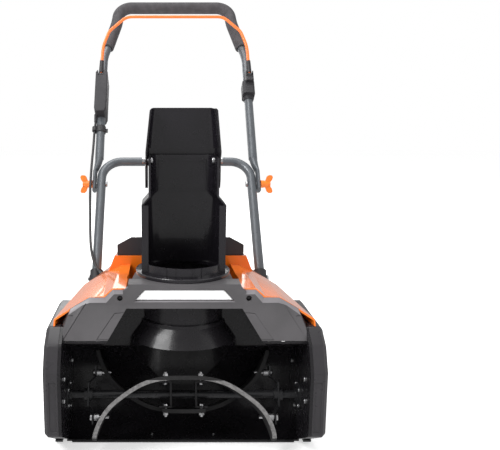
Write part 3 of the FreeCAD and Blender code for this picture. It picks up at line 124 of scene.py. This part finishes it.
def surface(name, colour, rough, metallic=0.0, coat=0.0, mottle=(14, 0.12), grain=(900, 0.12),
            edge=0.0008, rough_spread=0.05, scratches=0.0, specular=0.5, grain_kind="ShaderNodeTexNoise"):
    """A moulded, painted or bare surface: mottled colour, uneven gloss and a fine grain."""
    material = bpy.data.materials.new(name)
    material.use_nodes = True
    tree = material.node_tree
    shader = tree.nodes["Principled BSDF"]
    shader.inputs["Metallic"].default_value = metallic
    shader.inputs["Coat Weight"].default_value = coat
    shader.inputs["Coat Roughness"].default_value = 0.06
    shader.inputs["Specular IOR Level"].default_value = specular
    large = noise(tree, mottle[0], 4.0)
    tint = ramp(tree, large.outputs["Fac"], [(0.3, shade(colour, 1 - mottle[1])),
                                            (0.5, shade(colour, 1)),
                                            (0.7, shade(colour, 1 + mottle[1]))])
    plug(tree, tint, shader.inputs["Base Color"])
    patchy = noise(tree, mottle[0] * 3.1, 3.0)
    gloss = ramp(tree, patchy.outputs["Fac"], [(0.3, grey(max(0.02, rough - rough_spread))),
                                              (0.7, grey(min(1.0, rough + rough_spread)))])
    plug(tree, gloss, shader.inputs["Roughness"])
    fine = noise(tree, grain[0], 2.0, grain_kind)
    bump = add(tree, "ShaderNodeBump")
    bump.inputs["Strength"].default_value = grain[1]
    bump.inputs["Distance"].default_value = 0.0004
    plug(tree, fine.outputs[0], bump.inputs["Height"])
    if edge:
        rounded = add(tree, "ShaderNodeBevel", samples=4)
        rounded.inputs["Radius"].default_value = edge
        plug(tree, rounded.outputs["Normal"], bump.inputs["Normal"])
    last = bump
    if scratches:
        brushed = noise(tree, 60, 3.0)
        stretch = add(tree, "ShaderNodeMapping")
        stretch.inputs["Scale"].default_value = (1, 14, 1)
        place = add(tree, "ShaderNodeTexCoord")
        plug(tree, place.outputs["Object"], stretch.inputs["Vector"])
        plug(tree, stretch.outputs["Vector"], brushed.inputs["Vector"])
        lines = add(tree, "ShaderNodeBump")
        lines.inputs["Strength"].default_value = scratches
        lines.inputs["Distance"].default_value = 0.0003
        plug(tree, brushed.outputs["Fac"], lines.inputs["Height"])
        plug(tree, bump.outputs["Normal"], lines.inputs["Normal"])
        last = lines
    plug(tree, last.outputs["Normal"], shader.inputs["Normal"])
    return material


MATERIALS = {
    "black_shell": surface("black_shell", (0.0105, 0.0096, 0.0112), 0.27, coat=0.12, grain=(260, 0.05),
                           rough_spread=0.06, specular=0.32),
    "side_black": surface("side_black", (0.031, 0.029, 0.032), 0.3, coat=0.1, grain=(700, 0.06),
                          rough_spread=0.05, specular=0.35),
    "grey_panel": surface("grey_panel", (0.082, 0.078, 0.082), 0.5, grain=(1500, 0.35),
                          rough_spread=0.08, specular=0.35),
    # painted highlight: a lighter grey for the visor's upward-facing bevel, standing in for the light
    # that falls on it
    "painted_highlight_bevel": surface("painted_highlight_bevel", (0.2, 0.19, 0.2), 0.34, grain=(1500, 0.2), specular=0.45),
    "orange_cover": surface("orange_cover", (0.95, 0.2, 0.012), 0.22, coat=0.9, mottle=(9, 0.05),
                            grain=(240, 0.05), rough_spread=0.05),
    "black_chute": surface("black_chute", (0.0118, 0.0104, 0.0135), 0.24, coat=0.35, grain=(210, 0.06),
                           specular=0.4),
    "lid_black": surface("lid_black", (0.029, 0.031, 0.037), 0.42, grain=(1300, 0.25)),
    "tray_black": surface("tray_black", (0.02, 0.02, 0.021), 0.55, grain=(1100, 0.35)),
    "blue_grey_tube": surface("blue_grey_tube", (0.098, 0.108, 0.119), 0.34, metallic=0.25, coat=0.25,
                              mottle=(30, 0.08), grain=(2200, 0.16), rough_spread=0.07),
    "foam_grip": surface("foam_grip", (0.066, 0.062, 0.066), 0.72, mottle=(60, 0.2), grain=(1500, 0.9),
                         edge=0.002, specular=0.25),
    "orange_paint": surface("orange_paint", (0.92, 0.2, 0.04), 0.35, mottle=(25, 0.05),
                            grain=(1800, 0.14), edge=0),
    "orange_knob": surface("orange_knob", (0.95, 0.22, 0.02), 0.38, mottle=(40, 0.06), grain=(1500, 0.2)),
    "box_plastic": surface("box_plastic", (0.03, 0.029, 0.032), 0.5, grain=(1700, 0.4), specular=0.3),
    "black_steel": surface("black_steel", (0.022, 0.022, 0.024), 0.3, metallic=0.3, mottle=(60, 0.2),
                           grain=(900, 0.12), scratches=0.15),
    "paddle_rubber": surface("paddle_rubber", (0.012, 0.0115, 0.012), 0.62, mottle=(35, 0.2),
                             grain=(700, 0.35), specular=0.25),
    "paddle_edge": surface("paddle_edge", (0.15, 0.146, 0.145), 0.75, mottle=(160, 0.35),
                           grain=(1200, 0.8)),
    "tyre_rubber": surface("tyre_rubber", (0.018, 0.018, 0.018), 0.7, mottle=(50, 0.25),
                           grain=(800, 0.35), specular=0.3),
    "wheel_plastic": surface("wheel_plastic", (0.045, 0.045, 0.048), 0.45, grain=(1500, 0.3)),
    "zinc_steel": surface("zinc_steel", (0.62, 0.62, 0.63), 0.3, metallic=1, mottle=(90, 0.2),
                          grain=(700, 0.15), rough_spread=0.1),
    "shaft_steel": surface("shaft_steel", (0.5, 0.5, 0.51), 0.26, metallic=1, mottle=(50, 0.15),
                           grain=(600, 0.08), scratches=0.2, rough_spread=0.1),
    "lens_white": surface("lens_white", (0.95, 0.95, 0.95), 0.3, mottle=(20, 0.02), grain=(300, 0.05)),
    "board_green": surface("board_green", (0.01, 0.09, 0.03), 0.4, mottle=(200, 0.3), grain=(500, 0.2)),
    "battery_case": surface("battery_case", (0.035, 0.035, 0.038), 0.45, grain=(1400, 0.3)),
    "cable_black": surface("cable_black", (0.022, 0.021, 0.023), 0.5, mottle=(80, 0.15),
                           grain=(1600, 0.3), edge=0),
    "belt_rubber": surface("belt_rubber", (0.02, 0.02, 0.02), 0.7, grain=(900, 0.4)),
    "pulley_alloy": surface("pulley_alloy", (0.55, 0.55, 0.56), 0.4, metallic=1, grain=(500, 0.3)),
    "skid_plastic": surface("skid_plastic", (0.022, 0.022, 0.023), 0.6, mottle=(70, 0.2),
                            grain=(500, 0.4), scratches=0.3),
}
LOOKS = {
    "left_side_cover": "side_black", "right_side_cover": "side_black", "auger_bracket": "black_shell",
    "left_end_arm": "black_steel", "right_end_arm": "black_steel", "shaft_bearings": "black_steel",
    "cowl_screws": "black_shell",
}


def paint(obj, slot, look=None):
    """Gives a piece its look, taken from the look if one is given and from the record's slot otherwise.
    """
    obj.data.materials.clear()
    obj.data.materials.append(MATERIALS[look or slot])
    return obj


# ---- mesh helpers ---------------------------------------------------------------------
def smooth(obj, degrees=32):
    """Soft shading across shallow edges, hard across sharp ones."""
    mesh = obj.data
    mesh.shade_smooth()
    mesh.set_sharp_from_angle(angle=math.radians(degrees))


def softened(node, width, segments=2, flat=0.6, corner=28):
    """A copy of a CAD piece with its sharp edges rounded off."""
    source = NODES[node]
    mesh = source.data.copy()
    mesh.name = node + "_soft"
    obj = bpy.data.objects.new(node + "_soft", mesh)
    bpy.context.scene.collection.objects.link(obj)
    cleaned = bmesh.new()
    cleaned.from_mesh(mesh)
    bmesh.ops.remove_doubles(cleaned, verts=cleaned.verts, dist=2e-5)
    bmesh.ops.dissolve_limit(cleaned, angle_limit=math.radians(flat), verts=cleaned.verts,
                             edges=cleaned.edges)
    cleaned.to_mesh(mesh)
    cleaned.free()
    mesh.shade_smooth()
    if "custom_normal" in mesh.attributes:
        mesh.attributes.remove(mesh.attributes["custom_normal"])
    bevel = obj.modifiers.new("rounding", "BEVEL")
    bevel.width = width
    bevel.segments = segments
    bevel.limit_method = "ANGLE"
    bevel.angle_limit = math.radians(corner)
    bevel.use_clamp_overlap = True
    bevel.harden_normals = True
    bake(obj)
    paint(obj, NODE_SLOT[node], LOOKS.get(node))
    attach(obj, BODY_OF[node])
    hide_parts(node)
    return obj


def bake(obj):
    """Applies the modifiers."""
    graph = bpy.context.evaluated_depsgraph_get()
    made = bpy.data.meshes.new_from_object(obj.evaluated_get(graph))
    obj.modifiers.clear()
    obj.data = made


def piece(name, bm, slot, body, degrees=32):
    """A new piece from mesh work, riding on a body."""
    mesh = bpy.data.meshes.new(name)
    bm.to_mesh(mesh)
    bm.free()
    obj = bpy.data.objects.new(name, mesh)
    bpy.context.scene.collection.objects.link(obj)
    paint(obj, slot)
    smooth(obj, degrees)
    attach(obj, body)
    return obj


for node, obj in NODES.items():
    paint(obj, NODE_SLOT[node], LOOKS.get(node))


# ---- shells with rounded edges --------------------------------------------------------
SOFT = {
    "left_side_cover": 1.6, "right_side_cover": 1.6, "front_visor": 0.5, "left_cowl": 0.9,
    "right_cowl": 0.9, "rear_hood": 1.2, "battery_lid": 1.6, "switch_box": 1.8, "pivot_bracket": 1.5,
    "chute": 0.8, "chute_deflector": 0.7, "handle_grip": 2.5, "front_paddle": 0.8, "rear_paddle": 0.8,
    "bail": 0.3,
}
SHELLS = {node: softened(node, width / 1000) for node, width in SOFT.items()}


def relook(obj, look, wanted):
    """Gives a second look to the faces that a test picks out."""
    obj.data.materials.append(MATERIALS[look])
    for face in obj.data.polygons:
        if wanted(face):
            face.material_index = 1


def grey_front_faces(face):
    """The rubber's front-facing edge faces, coloured a lighter grey."""
    return face.normal.y < -0.75


def painted_highlight_strip(face):
    """The upward-facing bevel faces along the front panel's upper edge, which get a painted highlight."""
    return -0.84 < face.normal.y < -0.3 and face.normal.z > 0.5 and face.center.z > 0.262


BAIL_PIVOT = on_upper(0, 364, 27)
EYE_REACH = 0.011


def bail_eye(face):
    """The two eyes of the bail, dipped in black."""
    return math.hypot(face.center.y - BAIL_PIVOT.y, face.center.z - BAIL_PIVOT.z) < EYE_REACH


# the front paddle's faces turned toward the front are coloured a lighter grey
relook(SHELLS["front_paddle"], "paddle_edge", grey_front_faces)
# the visor's upward-facing bevel faces are painted a lighter grey: a painted highlight
relook(SHELLS["front_visor"], "painted_highlight_bevel", painted_highlight_strip)
relook(SHELLS["bail"], "cable_black", bail_eye)


# ---- small moulded details ------------------------------------------------------------
def block(bm, x, y, z, matrix=None):
    """A box between pairs of millimetre limits, turned by a matrix if one is given."""
    corners = [at(a, b, c) for a in x for b in y for c in z]
    if matrix:
        corners = [matrix @ corner for corner in corners]
    v = [bm.verts.new(corner) for corner in corners]
    for face in ((0, 1, 3, 2), (4, 6, 7, 5), (0, 4, 5, 1), (2, 3, 7, 6), (0, 2, 6, 4), (1, 5, 7, 3)):
        bm.faces.new([v[k] for k in face])


def rounded(bm, width):
    bmesh.ops.bevel(bm, geom=list(bm.edges), offset=width, segments=2, affect="EDGES", profile=0.6)
    return bm


def tilt_about(x, y, z, degrees):
    """A turn about the line along X through a point."""
    centre = at(x, y, z)
    return Matrix.Translation(centre) @ Matrix.Rotation(math.radians(degrees), 4, "X") @ \
        Matrix.Translation(-centre)


def make_tray_louvres():
    """Cooling slats across the tray's back, in a frame."""
    back, proud = 410, 415.5
    side, low, high, bar = 100, 164, 246, 3
    slats, pitch, slope = 8, 9, -24
    bm = bmesh.new()
    for k in range(slats):
        z = low + 8 + pitch * k
        block(bm, (4 - side, side - 4), (back, back + 5), (z, z + pitch / 2),
              tilt_about(0, back + 1, z, slope))
    for x in (-side, side):
        block(bm, (x - bar, x + bar), (back, proud), (low + 2, high))
    for z in (low, high):
        block(bm, (-side - bar, side + bar), (back, proud), (z - bar, z + bar))
    piece("tray_louvres", rounded(bm, 0.0007), "tray_black", "chassis")


def make_lid_grip():
    """Raised ridges where a thumb lifts the battery lid."""
    (front, top), (rear, low) = (209, 395), (408, 352)
    fall = (low - top) / (rear - front)
    ridges, pitch = 6, 6
    bm = bmesh.new()
    for k in range(ridges):
        y = front + 13 + pitch * k
        z = top + fall * (y - front)
        block(bm, (-34, 34), (y - 1.1, y + 1.1), (z - 1.5, z + 1.3),
              tilt_about(0, y, z, math.degrees(math.atan(fall))))
    piece("lid_grip_ridges", rounded(bm, 0.0005), "lid_black", "battery_lid")


def make_hub_bolts():
    """A socket-head bolt in the dish of each side cover."""
    head, height, face_x = 0.0085, 0.0018, 273
    for side in (-1, 1):
        bm = bmesh.new()
        place = Matrix.Translation(at(side * face_x, 0, SHAFT_Z)) @ Matrix.Rotation(math.pi / 2, 4, "Y")
        bmesh.ops.create_cone(bm, cap_ends=True, segments=28, radius1=head, radius2=head,
                              depth=height, matrix=place)
        outer = [f for f in bm.faces
                 if len(f.verts) > 4 and f.calc_center_median().x * side > face_x / 1000]
        bmesh.ops.inset_region(bm, faces=outer, thickness=0.004, depth=0)
        bmesh.ops.inset_region(bm, faces=outer, thickness=0.0004, depth=-0.0016)
        piece("cover_bolt_left" if side < 0 else "cover_bolt_right", bm, "zinc_steel", "chassis")


make_tray_louvres()
make_lid_grip()
make_hub_bolts()


# ---- the cable ------------------------------------------------------------------------
CABLE_R = 0.0035
CABLE_ROUTE = [on_upper(-236.5, 207.5, 4), on_upper(-238, 186, 4.8), on_upper(-238.9, 162, 5.4),
               on_upper(-239, 118, 9), on_upper(-240.6, 62, 14), on_upper(-241, 6, 18),
               on_lower(-240, -52, 17.5), on_lower(-236.5, -112, 14), on_lower(-233.5, -168, 14.5),
               on_lower(-228, -222, 19.5), at(-214.5, 361, 288), at(-203, 352.5, 276)]


def spline_points(points, resolution=12):
    """The points of the smooth NURBS line that follows a route."""
    data = bpy.data.curves.new("line", "CURVE")
    data.dimensions = "3D"
    data.resolution_u = resolution
    spline = data.splines.new("NURBS")
    spline.points.add(len(points) - 1)
    for point, place in zip(spline.points, points):
        point.co = (*place, 1)
    spline.order_u = 3
    spline.use_endpoint_u = True
    holder = bpy.data.objects.new("line", data)
    bpy.context.scene.collection.objects.link(holder)
    mesh = bpy.data.meshes.new_from_object(holder)
    found = [v.co.copy() for v in mesh.vertices]
    bpy.data.objects.remove(holder)
    bpy.data.meshes.remove(mesh)
    return found


def sweep(path, radius, sides=16):
    """A closed tube along a list of points."""
    bm = bmesh.new()
    rings = []
    normal = Vector((1, 0, 0))
    for k, place in enumerate(path):
        ahead = (path[min(k + 1, len(path) - 1)] - path[max(k - 1, 0)]).normalized()
        normal = (normal - ahead * normal.dot(ahead)).normalized()
        across = ahead.cross(normal)
        rings.append([bm.verts.new(place + (normal * math.cos(a) + across * math.sin(a)) * radius)
                      for a in [2 * math.pi * i / sides for i in range(sides)]])
    for low, high in zip(rings, rings[1:]):
        for i in range(sides):
            bm.faces.new((low[i], low[(i + 1) % sides], high[(i + 1) % sides], high[i]))
    bm.faces.new(list(reversed(rings[0])))
    bm.faces.new(rings[-1])
    return bm


def make_cable():
    path = spline_points(CABLE_ROUTE)
    mesh = bpy.data.meshes.new("switch_cable")
    bm = sweep(path, CABLE_R)
    bm.to_mesh(mesh)
    bm.free()
    cable = bpy.data.objects.new("switch_cable", mesh)
    bpy.context.scene.collection.objects.link(cable)
    paint(cable, "cable_black")
    smooth(cable, 50)
    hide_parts("cable")
    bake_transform(cable)


make_cable()


# ---- stage ----------------------------------------------------------------------------
def make_floor():
    bm = bmesh.new()
    bmesh.ops.create_grid(bm, x_segments=2, y_segments=2, size=9)
    mesh = bpy.data.meshes.new("floor")
    bm.to_mesh(mesh)
    bm.free()
    floor = bpy.data.objects.new("floor", mesh)
    bpy.context.scene.collection.objects.link(floor)
    material = bpy.data.materials.new("floor")
    material.use_nodes = True
    shader = material.node_tree.nodes["Principled BSDF"]
    shader.inputs["Base Color"].default_value = (0.93, 0.93, 0.93, 1)
    shader.inputs["Roughness"].default_value = 0.9
    shader.inputs["Specular IOR Level"].default_value = 0.1
    shader.inputs["Emission Color"].default_value = (1, 1, 1, 1)
    shader.inputs["Emission Strength"].default_value = 0.52
    mesh.materials.append(material)
    floor.visible_glossy = False


def make_light(name, place, target, size, power, size_y=None):
    data = bpy.data.lights.new(name, "AREA")
    data.shape = "RECTANGLE"
    data.size = size
    data.size_y = size_y or size
    data.energy = power
    light = bpy.data.objects.new(name, data)
    bpy.context.scene.collection.objects.link(light)
    light.location = place
    light.visible_camera = False
    light.rotation_euler = (Vector(target) - Vector(place)).to_track_quat("-Z", "Y").to_euler()
    return light


def make_world():
    world = bpy.data.worlds.new("studio")
    world.use_nodes = True
    tree = world.node_tree
    back = tree.nodes["Background"]
    back.inputs["Color"].default_value = (1, 1, 1, 1)
    rays = add(tree, "ShaderNodeLightPath")
    level = add(tree, "ShaderNodeMapRange")
    level.inputs["To Min"].default_value = 0.5
    level.inputs["To Max"].default_value = 1.0
    plug(tree, rays.outputs["Is Camera Ray"], level.inputs["Value"])
    plug(tree, level.outputs["Result"], back.inputs["Strength"])
    bpy.context.scene.world = world


def make_camera():
    data = bpy.data.cameras.new("camera")
    data.sensor_width = 36
    data.lens = 46.5
    data.shift_x = 0.1845
    data.shift_y = -0.0044
    data.clip_end = 50
    camera = bpy.data.objects.new("camera", data)
    bpy.context.scene.collection.objects.link(camera)
    camera.location = at(-53, -1259, 690)
    camera.rotation_euler = (math.radians(90 - 10.1), 0, 0)
    bpy.context.scene.camera = camera


make_floor()
make_world()
make_light("key", (-1.7, -1.5, 2.5), (0, -0.1, 0.3), 1.3, 62)
make_light("fill", (2.0, -1.6, 1.4), (0, -0.2, 0.4), 1.6, 14)
make_light("top", (-0.3, 0.4, 2.8), (0, 0, 0.3), 1.8, 40)
make_light("back", (-0.7, 2.6, 1.5), (0, -0.2, 0.3), 3.0, 28, 1.5)
make_camera()
bpy.context.scene.view_settings.view_transform = "Standard"

for node, obj in NODES.items():
    if not obj.hide_render:
        smooth(obj)
